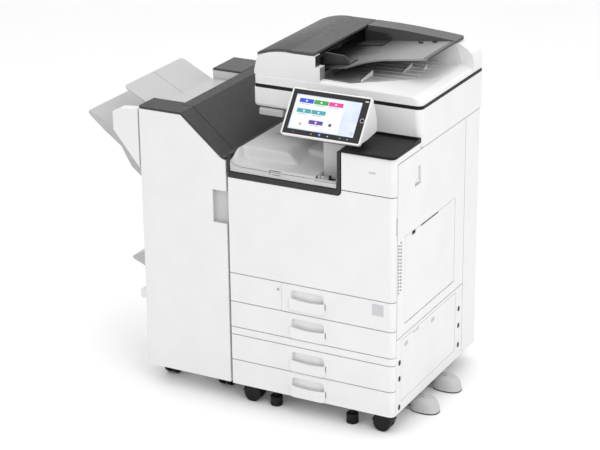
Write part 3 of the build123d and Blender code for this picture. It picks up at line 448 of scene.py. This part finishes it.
def panel_plate(name, outline, out, mat, thick=0.15):
    """Thin plate on the panel's face."""
    mesh = bmesh.new()
    shift = on_panel(0, 0, thick) - on_panel(0, 0, 0)
    add_prism(mesh, [on_panel(x, up, out) for x, up in outline], shift)
    return finish_piece(name, mesh, "panel_body", mat)


def circle(x, up, radius, steps=24):
    """Outline of a circle, as pairs."""
    angles = [i * 2 * pi / steps for i in range(steps)]
    return [(x + radius * cos(a), up + radius * sin(a)) for a in angles]


def ring(x, up, outer, inner, steps=24):
    """Outline of a flat ring with a narrow slit, so that it stays one polygon."""
    gap = 0.03
    angles = [gap + i * (2 * pi - 2 * gap) / steps for i in range(steps + 1)]
    out = [(x + outer * cos(a), up + outer * sin(a)) for a in angles]
    back = [(x + inner * cos(a), up + inner * sin(a)) for a in reversed(angles)]
    return out + back


def make_screen_picture():
    """Generic start screen: coloured tiles on white cards, a pale blue field and a dark function bar."""
    x0, x1, u0, u1 = PICTURE
    pale = lit_display("display field", (0.36, 0.42, 0.54), (0.50, 0.54, 0.62), 0.42, 14.0)
    white = lit_display("display white", (0.52, 0.54, 0.57), (0.57, 0.58, 0.61), 0.45, 20.0)
    grey = lit_display("display grey", (0.24, 0.25, 0.27), (0.30, 0.31, 0.33), 0.2)
    dark = lit_display("display dark", (0.03, 0.04, 0.05), (0.05, 0.06, 0.07), 0.1)
    panel_plate("screen_field", rounded(x0, x1, u0, u1, 1.0), ON_GLASS, pale)
    panel_plate("screen_page", rounded(x0 + 3, x1 - 54, u0 + 3, u1 - 4, 2.0), ON_FIELD, white, THIN)
    mark = rounded(x1 - 9, x1 - 2, u1 - 6, u1 - 1, 1.0)
    panel_plate("screen_status_mark", mark, ON_FIELD, white, THIN)
    for row, ((low, high), colors) in enumerate(zip(TILE_ROWS, TILE_COLORS), start=1):
        for number, (column, color) in enumerate(zip(TILE_COLUMNS, colors), start=1):
            label = f"{row}_{number}"
            if color is None:
                card = lit_display("card " + label, (0.60, 0.61, 0.63), (0.63, 0.63, 0.64), 0.45)
                outline = rounded(column, column + TILE_WIDTH, low - 9, high + 3, 1.5)
                panel_plate("screen_card_" + label, outline, ON_PAGE, card, THIN)
                continue
            bright = tuple(min(1.0, c * 1.25 + 0.02) for c in color)
            tile = rounded(column, column + TILE_WIDTH, low, high, 1.5)
            panel_plate("screen_tile_" + label, tile, ON_PAGE,
                        lit_display("tile " + label, color, bright, 0.35), THIN)
            symbol = circle(column + TILE_WIDTH / 2, (low + high) / 2, 3.2)
            panel_plate("screen_symbol_" + label, symbol, ON_TILE, white, THIN)
            caption = rounded(column + 4, column + 38, low - 5, low - 3.4, 0.7)
            panel_plate("screen_caption_" + label, caption, ON_PAGE, grey, THIN)
    panel_plate("screen_symbol_round", circle(349, 50, 5.5), ON_TILE, dark, THIN)
    panel_plate("screen_symbol_grey", circle(248, 41, 4.5), ON_TILE, grey, THIN)
    panel_plate("screen_symbol_ring", ring(427, 34, 5.0, 3.4), ON_PAGE, grey, THIN)
    for i, (x, color, radius) in enumerate(FUNCTION_ICONS):
        lamp = lit_display(f"function icon {i}", color, color, 0.5)
        panel_plate(f"screen_function_{i + 1}", circle(x, 13.5, radius), ON_GLASS, lamp)
    start = lit_display("start icon", (0.03, 0.05, 0.40), (0.06, 0.10, 0.5), 0.6)
    panel_plate("screen_function_start", circle(323, 14.5, 4.2), ON_GLASS, start)
    panel_plate("screen_function_start_dot", circle(323, 14.5, 1.6), ON_GLASS + 0.2, white)


def make_key_ring():
    """Pale ring printed round the key in the right bezel, and the status lamp above it."""
    pale = moulded_plastic("key ring print", (0.55, 0.55, 0.56), 0.3)
    panel_plate("home_button_ring", ring(*HOME_KEY, 7.4, 5.9), ON_GLASS, pale)
    lamp = lit_display("status lamp", (0.5, 0.5, 0.5), (0.6, 0.6, 0.6), 0.4)
    panel_plate("panel_status_lamp", rounded(444, 456, 141, 144, 1.4), ON_GLASS, lamp)


# ------------------------------------------------------------------ paper output tray in the cavity
TRAY_X = (7.0, 310.0)
TRAY_Y = (3.0, 396.0)
TRAY_BASE = 814.0
TRAY_COLUMNS, TRAY_ROWS = 76, 98
TRAY_FLOOR, TRAY_PLATEAU, TRAY_BACK = 843.0, 873.0, 856.0
STRIP_BOTTOM = 824.2
STRIP_END = 385


def tray_height(x, y):
    """Top surface of the moulded tray: floor, raised left plateau with ramps, and a back shelf."""
    floor = TRAY_FLOOR - 2.0 * smoothstep(x, 60, 310) + 8 * smoothstep(46 - x, 0, 30)
    lift = smoothstep(222 - x - 14 * smoothstep(y, 60, 160), 0, 56) * smoothstep(y, 62, 92)
    side = smoothstep(30 - x, 0, 22) * smoothstep(y, 8, 60)
    height = floor + (TRAY_PLATEAU - floor) * max(lift, side)
    back = TRAY_BACK + 4.0 * smoothstep(y, 200, 300)
    rise = smoothstep(y + 0.28 * (x - 160), 196, 206) * smoothstep(x, 150, 200)
    return max(height, floor + (back - floor) * rise)


def make_output_tray():
    """The tray's moulding as one closed sheet of small quads over a flat base."""
    mesh = bmesh.new()
    xs = [TRAY_X[0] + (TRAY_X[1] - TRAY_X[0]) * i / TRAY_COLUMNS for i in range(TRAY_COLUMNS + 1)]
    ys = [TRAY_Y[0] + (TRAY_Y[1] - TRAY_Y[0]) * (j / TRAY_ROWS) for j in range(TRAY_ROWS + 1)]
    top = [[mesh.verts.new(at(x, y, tray_height(x, y))) for x in xs] for y in ys]
    base = [[mesh.verts.new(at(x, y, TRAY_BASE)) for x in TRAY_X] for y in TRAY_Y]
    for row, following in zip(top, top[1:]):
        for i in range(TRAY_COLUMNS):
            mesh.faces.new((row[i], row[i + 1], following[i + 1], following[i]))
    mesh.faces.new([base[0][0], base[0][1]] + list(reversed(top[0])))
    mesh.faces.new([base[1][1], base[1][0]] + list(top[-1]))
    mesh.faces.new([base[1][0], base[0][0]] + [row[0] for row in top])
    mesh.faces.new([base[0][1], base[1][1]] + [row[-1] for row in reversed(top)])
    mesh.faces.new([base[0][0], base[1][0], base[1][1], base[0][1]])
    piece = finish_piece("output_tray_moulding", mesh, "main_body", MATERIALS["tray_floor"])
    for face in piece.data.polygons:
        face.use_smooth = len(face.vertices) == 4 and abs(face.normal.z) > 0.2
    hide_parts("output_tray")


def make_tray_front_details():
    """Joint line along the tray's front strip, its finger slots and the small stop lever."""
    route = ((9, 852), (16, 841), (28, 835), (46, 832), (152, 831), (306, 833))
    mesh = bmesh.new()
    lower = [at(x, 2.6, z) for x, z in route]
    upper = [at(x, 2.6, z + 1.5) for x, z in reversed(route)]
    add_prism(mesh, lower + upper, Vector((0, 0.6 * MM, 0)))
    finish_piece("tray_joint_line", mesh, "main_body", MATERIALS["grey_dark"])
    mesh = bmesh.new()
    for x0, x1, z0, z1 in ((150, 190, 836, 839), (150, 153, 824, 836), (160, 190, 824, 826)):
        add_block(mesh, x0, x1, 2.5, 3.2, z0, z1)
    finish_piece("tray_finger_slots", mesh, "main_body", MATERIALS["grey_dark"])
    mesh = bmesh.new()
    for x0 in (304, 316, 328):
        add_block(mesh, x0, x0 + 6, 15.4, 22, STRIP_BOTTOM, 842)
    finish_piece("tray_stop_ribs", mesh, "main_body", MATERIALS["tray"], bevel=0.8)
    mesh = bmesh.new()
    add_block(mesh, 348, 364, 16, 40, STRIP_BOTTOM, 832)
    add_block(mesh, 352, 359, 16, 24, 832, 846)
    finish_piece("tray_stop_lever", mesh, "main_body", MATERIALS["band"], bevel=1.2)
    mesh = bmesh.new()
    for x0, x1, y0, y1 in ((40, 62, 240, 246), (70, 130, 236, 239), (40, 150, 300, 303)):
        add_block(mesh, x0, x1, y0, y1, TRAY_PLATEAU, TRAY_PLATEAU + 2.5)
    finish_piece("tray_back_ribs", mesh, "main_body", MATERIALS["shift"], bevel=0.6)


def make_tray_corner():
    """Right end of the tray's front strip, beside the stop lever."""
    mesh = bmesh.new()
    add_block(mesh, TRAY_X[1] + 0.3, STRIP_END, TRAY_Y[0], 14.8, TRAY_BASE, 834)
    add_block(mesh, TRAY_X[1] + 0.3, STRIP_END, 14.8, 56, STRIP_BOTTOM, 828)
    finish_piece("tray_front_corner", mesh, "main_body", MATERIALS["tray_floor"], bevel=1.0)
    mesh = bmesh.new()
    add_block(mesh, TRAY_X[1] + 1, STRIP_END - 1, 2.6, 3.2, 829.0, 830.6)
    finish_piece("tray_corner_line", mesh, "main_body", MATERIALS["grey_dark"])


def make_exit_flap():
    """Pale bar under the scanner at the paper exit."""
    mesh = bmesh.new()
    section = ((191, 949), (232, 952), (232, 972), (196, 972), (191, 966))
    add_prism(mesh, [at(12, y, z) for y, z in section], Vector((86 * MM, 0, 0)))
    finish_piece("exit_flap", mesh, "main_body", MATERIALS["tray"], bevel=2.0)


# ------------------------------------------------------------------ document feeder
EXIT_FLOOR = 1072
EXIT_FINS = ((405, 440, 512, 10), (452, 490, 524, 8), (330, 262, 372, 12))
TRAY_SLOPE = 0.104
LAMP_WINDOWS = ((422, 543), (467, 554))
FEEDER_RIBS = (386, 398, 410, 422, 434)


def make_feeder_exit():
    """Originals' exit: dark ramp beside the feed block, with pale fins, and stacking ribs on the floor."""
    mesh = bmesh.new()
    foot = ((234, 226, 0), (330, 226, 2), (346, 258, 2), (300, 330, 1), (234, 420, 0))
    add_prism(mesh, [at(x, y, EXIT_FLOOR + rise) for x, y, rise in foot], Vector((0, 0, 16 * MM)))
    finish_piece("exit_ramp", mesh, "adf_lid", MATERIALS["ramp_grey"], bevel=3.0)
    mesh = bmesh.new()
    for x0, y0, y1, rise in EXIT_FINS:
        top = EXIT_FLOOR + 6
        side = ((y0, EXIT_FLOOR), (y1, EXIT_FLOOR), (y1, top + rise), (y0 + 14, top))
        add_prism(mesh, [at(x0, y, z) for y, z in side], Vector((3 * MM, 0, 0)))
    finish_piece("exit_fins", mesh, "adf_lid", MATERIALS["white"], bevel=0.6)
    # The pocket's end wall carries painted shade that fades out towards the right.
    mesh = bmesh.new()
    outline = [(233, 1067), (549, 1075), (548, 1092), (543, 1112), (534, 1132), (520, 1146.5), (460, 1154),
               (366, 1160), (233, 1164)]
    add_prism(mesh, [at(x, 594.2, z) for x, z in outline], Vector((0, 2.2 * MM, 0)))
    finish_piece("pocket_end_wall", mesh, "adf_lid", MATERIALS["end_wall"], bevel=1.0)
    # The floor ribs carry painted shade that fades out towards the right.
    mesh = bmesh.new()
    rib = ((236, 1066.5), (470, 1073.5), (470, 1075.2), (236, 1068.4))
    for y in range(360, 590, 38):
        add_prism(mesh, [at(x, y, z) for x, z in rib], Vector((0, 3 * MM, 0)))
    finish_piece("exit_floor_ribs", mesh, "adf_lid", MATERIALS["exit_ribs"], bevel=0.4)


def make_tray_marks():
    """Two small lamp windows at the right of the input tray's ledge, and low ribs along its middle."""
    mesh = bmesh.new()
    for x, y in LAMP_WINDOWS:
        z = 1124 + (x - 209) * TRAY_SLOPE + 3.0
        outline = [at(px, py, z) for px, py in rounded(x - 9, x + 9, y - 4, y + 4, 3.5)]
        add_prism(mesh, outline, Vector((0, 0, 2.2 * MM)))
    finish_piece("tray_lamps", mesh, "adf_input_tray_body", MATERIALS["black"])
    mesh = bmesh.new()
    rib = ((222, 1124.6), (330, 1135.4), (330, 1136.9), (222, 1126.2))
    for y in FEEDER_RIBS:
        add_prism(mesh, [at(x, y, z) for x, z in rib], Vector((0, 2 * MM, 0)))
    finish_piece("tray_ribs", mesh, "adf_input_tray_body", MATERIALS["guide"], bevel=0.5)


def make_platen_pad():
    """White backing pad under the lid."""
    mesh = bmesh.new()
    outline = [at(x, y, 1051.3) for x, y in rounded(40, 480, 225, 520, 6)]
    add_prism(mesh, outline, Vector((0, 0, 2.4 * MM)))
    finish_piece("platen_pad", mesh, "adf_lid", MATERIALS["white_soft"], bevel=0.6)


def make_scan_lamp():
    """Lamp tube in the carriage trough."""
    mesh = bmesh.new()
    add_prism(mesh, [at(x, 230, z) for x, z in circle(68, 1018, 3, 16)], Vector((0, 315 * MM, 0)))
    finish_piece("scan_lamp", mesh, "scanner_carriage_body",
                 lit_display("scan lamp", (0.9, 0.93, 0.95), (0.95, 0.97, 1.0), 0.3))


# ------------------------------------------------------------------ small fittings
SIDE_FACE = 587.0
SIDE_CAPS = ((45, 244), (45, 188), (45, 87), (515, 248), (515, 186), (515, 114))
DOOR_LATCHES = ((94, 293), (300, 293))
VENT_COLUMNS = ((32.5, 0.0), (49.0, 5.7))
VENT_ROWS, VENT_LOW, VENT_PITCH = 15, 486, 11.4


def side_plate(mesh, y, z, half_wide, half_high, radius, out):
    """Rounded plate that starts just under the right face of the machine."""
    pairs = rounded(y - half_wide, y + half_wide, z - half_high, z + half_high, radius)
    add_prism(mesh, [at(SIDE_FACE - 0.4, py, pz) for py, pz in pairs], Vector((out * MM, 0, 0)))


def make_side_fittings():
    """Side screw caps, latches and notch of the lower door, bypass tray details and black blocks in the vent
    holes as painted shade.
    """
    mesh = bmesh.new()
    for y, z in SIDE_CAPS:
        side_plate(mesh, y, z, 7.5, 9, 6.5, 1.6)
    finish_piece("side_screw_caps", mesh, "main_body", MATERIALS["black"], bevel=0.8)
    mesh = bmesh.new()
    for y, z in DOOR_LATCHES:
        side_plate(mesh, y, z, 13, 7, 4, 1.2)
    finish_piece("lower_door_latches", mesh, "lower_right_door_body", MATERIALS["tray"],
                 bevel=0.6)
    mesh = bmesh.new()
    add_block(mesh, 580, 583.4, 147, 193, 302, 315.5)
    finish_piece("lower_door_notch", mesh, "lower_right_door_body", MATERIALS["white"],
                 bevel=0.5)
    mesh = bmesh.new()
    add_block(mesh, 583.2, 585.6, 140, 157, 650, 661)
    finish_piece("bypass_notch_shade", mesh, "bypass_tray_body", MATERIALS["band"])
    mesh = bmesh.new()
    add_block(mesh, 586.2, 586.95, 197, 333, 657.2, 660.9)
    finish_piece("bypass_top_line", mesh, "bypass_tray_body", MATERIALS["band"])
    # Black blocks set in the vent holes just under the door's face: painted shade inside the holes.
    mesh = bmesh.new()
    for row in range(VENT_ROWS):
        for y, shift in VENT_COLUMNS:
            z = VENT_LOW + row * VENT_PITCH + shift
            add_block(mesh, 582.4, 586.9, y - 4.7, y + 4.7, z + 0.1, z + 4.4)
    finish_piece("vent_hole_shade", mesh, "right_door_body", MATERIALS["black"])


DRAWER_TOPS = (462.5, 362.5, 244.5, 153.5)


def make_front_fittings():
    """Key lock and blank label on the top drawer, and a plain badge on the upper cover."""
    mesh = bmesh.new()
    add_prism(mesh, [at(x, -1.4, z) for x, z in circle(177, 438, 5.5)], Vector((0, 1.6 * MM, 0)))
    finish_piece("drawer_lock", mesh, "paper_tray_1_body", MATERIALS["steel"], bevel=0.6)
    mesh = bmesh.new()
    add_block(mesh, 176.2, 177.8, -1.7, -1.2, 434, 442)
    finish_piece("drawer_lock_slit", mesh, "paper_tray_1_body", MATERIALS["black"])
    for number, top in enumerate(DRAWER_TOPS):
        mesh = bmesh.new()
        add_block(mesh, 345.2, 346.6, -2.2, -0.4, top - 66, top - 46)
        finish_piece(f"grip_slit_{number + 1}", mesh, f"paper_tray_{number + 1}_body",
                     MATERIALS["grey_dark"])
    mesh = bmesh.new()
    add_prism(mesh, [at(x, -0.3, z) for x, z in rounded(511, 551, 413, 452, 2)], Vector((0, 0.4 * MM, 0)))
    finish_piece("blank_label", mesh, "paper_tray_1_body",
                 moulded_plastic("label film", (0.52, 0.52, 0.54), 0.3))
    mesh = bmesh.new()
    add_prism(mesh, [at(x, -0.5, z) for x, z in rounded(498, 522, 883, 889, 2.8)], Vector((0, 0.7 * MM, 0)))
    finish_piece("plain_badge", mesh, "main_body", MATERIALS["steel"], bevel=0.3)


def make_docking_strip():
    """Dark seal between the finisher and the cabinet."""
    mesh = bmesh.new()
    add_block(mesh, -7.2, -1.4, 30, 620, 76, 846)
    finish_piece("docking_strip", mesh, "main_body", MATERIALS["band"], bevel=0.8)


HOOD_Y = (224.0, 405.0)
HOOD_X, HOOD_SHIFT = 599, 8
HOOD_HALF = (50.0, 33.5)
HOOD_HEIGHT = 47
HOOD_TOP = 0.56
HOOD_POWER = 0.8
HOOD_RINGS, HOOD_STEPS = 14, 40


def squared(value):
    """Sine or cosine drawn towards the sides, so that a circle turns into a rounded rectangle."""
    return abs(value) ** HOOD_POWER * (1 if value > 0 else -1)


def make_stabilisers():
    """Rounded hoods over the anti-tip arms, each with a screw on top."""
    mesh = bmesh.new()
    for y in HOOD_Y:
        loops = []
        for r in range(HOOD_RINGS + 1):
            t = r / HOOD_RINGS
            height = HOOD_HEIGHT * sin(t * pi / 2)
            shrink = HOOD_TOP + (1 - HOOD_TOP) * max(0.0, cos(t * pi / 2)) ** 0.6
            loop = []
            for i in range(HOOD_STEPS):
                a = 2 * pi * i / HOOD_STEPS
                cx = HOOD_X - HOOD_SHIFT * t + HOOD_HALF[0] * shrink * squared(cos(a))
                cy = y + HOOD_HALF[1] * shrink * squared(sin(a))
                loop.append(mesh.verts.new(at(cx, cy, height)))
            loops.append(loop)
        for low, high in zip(loops, loops[1:]):
            for i in range(HOOD_STEPS):
                j = (i + 1) % HOOD_STEPS
                mesh.faces.new((low[i], low[j], high[j], high[i]))
        mesh.faces.new(reversed(loops[0]))
        mesh.faces.new(loops[-1])
    hoods = finish_piece("stabiliser_hoods", mesh, "main_body", MATERIALS["foot"], smooth=True)
    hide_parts("stabiliser_covers")
    mesh = bmesh.new()
    for y in HOOD_Y:
        head = [at(px, py, HOOD_HEIGHT - 0.2) for px, py in circle(590, y, 5)]
        add_prism(mesh, head, Vector((0, 0, 0.8 * MM)))
    finish_piece("stabiliser_screws", mesh, "main_body", MATERIALS["grey_low"], bevel=0.3)


REAR_SCREW_X, REAR_SCREW_Z = (30, 290, 545), (100, 400, 640, 880)


def make_rear_screws():
    """Flat screw heads that hold the back panel."""
    mesh = bmesh.new()
    for x in REAR_SCREW_X:
        for z in REAR_SCREW_Z:
            head = [at(px, 667.8, pz) for px, pz in circle(x, z, 4, 16)]
            add_prism(mesh, head, Vector((0, 1.4 * MM, 0)))
    finish_piece("rear_screws", mesh, "main_body", MATERIALS["steel"], bevel=0.5)


def make_pieces():
    """All finer pieces that join the CAD nodes."""
    make_screen_picture()
    make_key_ring()
    make_output_tray()
    make_tray_front_details()
    make_tray_corner()
    make_exit_flap()
    make_feeder_exit()
    make_tray_marks()
    make_platen_pad()
    make_scan_lamp()
    make_side_fittings()
    make_front_fittings()
    make_docking_strip()
    make_stabilisers()
    make_rear_screws()


# ------------------------------------------------------------------ camera, light and floor
CAMERA_PLACE = (2925.0, -5015.0, 2876.0)
CAMERA_YAW, CAMERA_PITCH, CAMERA_ROLL = 28.0, 21.2, -0.62
CAMERA_LENS = 116.04
FILM_WIDTH = 36.0
WORLD_LIGHT = 0.97
KEY_WATTS, TOP_WATTS = 54.0, 34.0
FLOOR_HALF = 14.0


def make_camera():
    """Camera in front of the machine's right corner, turned by yaw, pitch and roll."""
    yaw, pitch, roll = radians(CAMERA_YAW), radians(CAMERA_PITCH), radians(CAMERA_ROLL)
    forward = Vector((-sin(yaw) * cos(pitch), cos(yaw) * cos(pitch), -sin(pitch)))
    level = Vector((cos(yaw), sin(yaw), 0.0))
    above = level.cross(forward)
    right = level * cos(roll) + above * sin(roll)
    up = above * cos(roll) - level * sin(roll)
    data = bpy.data.cameras.new("camera")
    data.lens = CAMERA_LENS
    data.sensor_width = FILM_WIDTH
    data.clip_end = 60.0
    camera = bpy.data.objects.new("camera", data)
    turn = Matrix((right, up, -forward)).transposed().to_4x4()
    camera.matrix_world = Matrix.Translation(at(*CAMERA_PLACE)) @ turn
    bpy.context.collection.objects.link(camera)
    bpy.context.scene.camera = camera


def area_light(name, place, target, size, watts):
    """Rectangular lamp at a place, turned towards a target."""
    data = bpy.data.lights.new(name, "AREA")
    data.shape = "RECTANGLE"
    data.size, data.size_y = size
    data.energy = watts
    light = bpy.data.objects.new(name, data)
    light.location = place
    light.rotation_euler = (Vector(target) - Vector(place)).to_track_quat("-Z", "Y").to_euler()
    bpy.context.collection.objects.link(light)


def make_light():
    """Even white surroundings with a soft key lamp and a soft top lamp."""
    world = bpy.data.worlds.new("studio")
    world.use_nodes = True
    background = world.node_tree.nodes["Background"]
    background.inputs["Color"].default_value = (1.0, 1.0, 1.0, 1.0)
    background.inputs["Strength"].default_value = WORLD_LIGHT
    bpy.context.scene.world = world
    bpy.context.scene.view_settings.view_transform = "Standard"
    area_light("key", (3.2, -2.6, 3.2), (0.0, 0.0, 0.6), (2.4, 2.4), KEY_WATTS)
    area_light("top", (0.2, 0.2, 4.0), (0.0, 0.0, 0.5), (3.0, 3.0), TOP_WATTS)


def make_floor():
    """Plain pale floor, far wider than the machine."""
    mat, tree, shader, vector = new_material("pale floor")
    color = ramp(tree, noise(tree, vector, 1.5, 3.0), (0.95, 0.95, 0.95), (0.965, 0.965, 0.965))
    tree.links.new(color, shader.inputs["Base Color"])
    shader.inputs["Roughness"].default_value = 0.6
    shader.inputs["Specular IOR Level"].default_value = 0.1
    mesh = bpy.data.meshes.new("floor")
    corners = [(x * FLOOR_HALF, y * FLOOR_HALF, 0) for x, y in ((-1, -1), (1, -1), (1, 1), (-1, 1))]
    mesh.from_pydata(corners, [], [(0, 1, 2, 3)])
    mesh.materials.append(mat)
    floor = bpy.data.objects.new("floor", mesh)
    bpy.context.collection.objects.link(floor)


make_camera()
make_light()
make_floor()
dress_all()
make_pieces()
